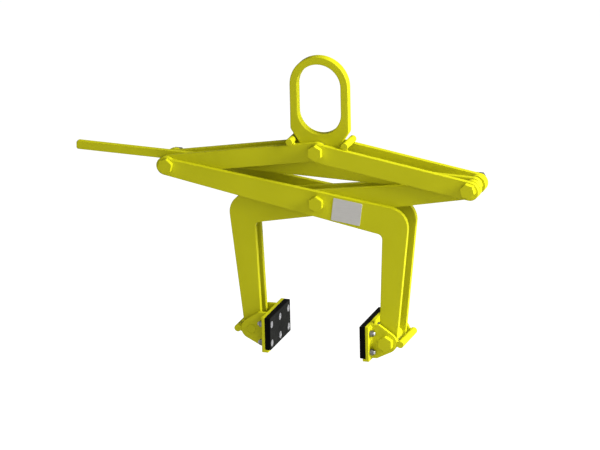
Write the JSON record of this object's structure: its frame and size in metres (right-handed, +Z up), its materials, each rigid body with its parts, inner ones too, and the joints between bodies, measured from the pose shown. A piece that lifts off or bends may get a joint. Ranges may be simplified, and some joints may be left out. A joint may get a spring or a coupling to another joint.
{
  "type": "lifting tongs",
  "caption": "Scissor lifting tongs with an oblong crane eye, paired links and crossed arms, a latching hand lever and swivelling rubber-faced pads.",
  "frame": {"origin": "inner crown of the lifting eye, at the middle of its thickness, where the crane hook bears", "axes": "+Z up towards the crane, +X to the right as seen from the front, +Y away from the viewer along the pivot bolts"},
  "size_m": [0.9464, 0.14, 0.6764],
  "materials": {
    "paint": "gloss",
    "zinc": "zinc plated",
    "bright_zinc": "bright zinc plated",
    "rubber": "matt",
    "plate_grey": "bare, unmarked"
  },
  "bodies": {
    "eye": {"lifting_eye": "paint"},
    "left_link": {"left_link_front": "paint", "left_link_rear": "paint", "left_stop_rod": "paint", "left_spacer": "paint", "eye_washers": "zinc"},
    "right_link": {"right_link_front": "paint", "right_link_rear": "paint", "right_stop_rod": "paint", "top_bolt": "paint", "top_nut": "zinc", "right_bolt": "paint", "right_nut": "zinc"},
    "right_foot_arm": {"right_foot_arm_front": "paint", "right_foot_arm_rear": "paint", "rating_plate": "plate_grey", "left_bolt": "paint", "left_nut": "zinc", "cross_bolt": "paint", "cross_nut": "zinc", "right_foot_spacer": "paint"},
    "left_foot_arm": {"left_foot_arm_front": "paint", "left_foot_arm_rear": "paint", "cross_spacer": "paint", "right_spacers": "paint", "left_foot_spacer": "paint"},
    "lever": {"hand_lever": "paint"},
    "right_carrier": {"right_backing_plate": "paint", "right_cheek_front": "paint", "right_cheek_rear": "paint", "right_stop_bar": "paint", "right_foot_bolt": "paint", "right_rubber_pad": "rubber", "right_pad_screws": "bright_zinc", "right_pad_nuts": "zinc"},
    "left_carrier": {"left_backing_plate": "paint", "left_cheek_front": "paint", "left_cheek_rear": "paint", "left_stop_bar": "paint", "left_foot_bolt": "paint", "left_rubber_pad": "rubber", "left_pad_screws": "bright_zinc", "left_pad_nuts": "zinc"}
  },
  "joints": [
    {"name": "closing", "type": "hinge", "parent": "eye", "child": "left_link", "pos_m": [0, 0, -0.1927], "axis": [0, -1, 0], "range_deg": [0, 16]},
    {"name": "right_link_swing", "type": "hinge", "parent": "eye", "child": "right_link", "pos_m": [0, 0, -0.1927], "axis": [0, 1, 0], "range_deg": [0, 16]},
    {"name": "right_foot_arm_swing", "type": "hinge", "parent": "left_link", "child": "right_foot_arm", "pos_m": [-0.35013, 0, -0.25129], "axis": [0, 1, 0], "range_deg": [0, 32]},
    {"name": "left_foot_arm_swing", "type": "hinge", "parent": "right_link", "child": "left_foot_arm", "pos_m": [0.35013, 0, -0.25129], "axis": [0, -1, 0], "range_deg": [0, 32]},
    {"name": "lever_lift", "type": "hinge", "parent": "right_link", "child": "lever", "pos_m": [0.35013, 0, -0.25129], "axis": [0, -1, 0], "range_deg": [0, 7.2]},
    {"name": "right_pad_tilt", "type": "hinge", "parent": "right_foot_arm", "child": "right_carrier", "pos_m": [0.15943, 0, -0.61742], "axis": [0, -1, 0], "range_deg": [-16, 25]},
    {"name": "left_pad_tilt", "type": "hinge", "parent": "left_foot_arm", "child": "left_carrier", "pos_m": [-0.15943, 0, -0.61742], "axis": [0, 1, 0], "range_deg": [-16, 25]}
  ],
  "couplings": [
    {"joint": "right_link_swing", "follows": "closing", "ratio": 1},
    {"joint": "right_foot_arm_swing", "follows": "closing", "ratio": 2},
    {"joint": "left_foot_arm_swing", "follows": "closing", "ratio": 2},
    {"joint": "lever_lift", "follows": "closing", "ratio": 0.45}
  ]
}
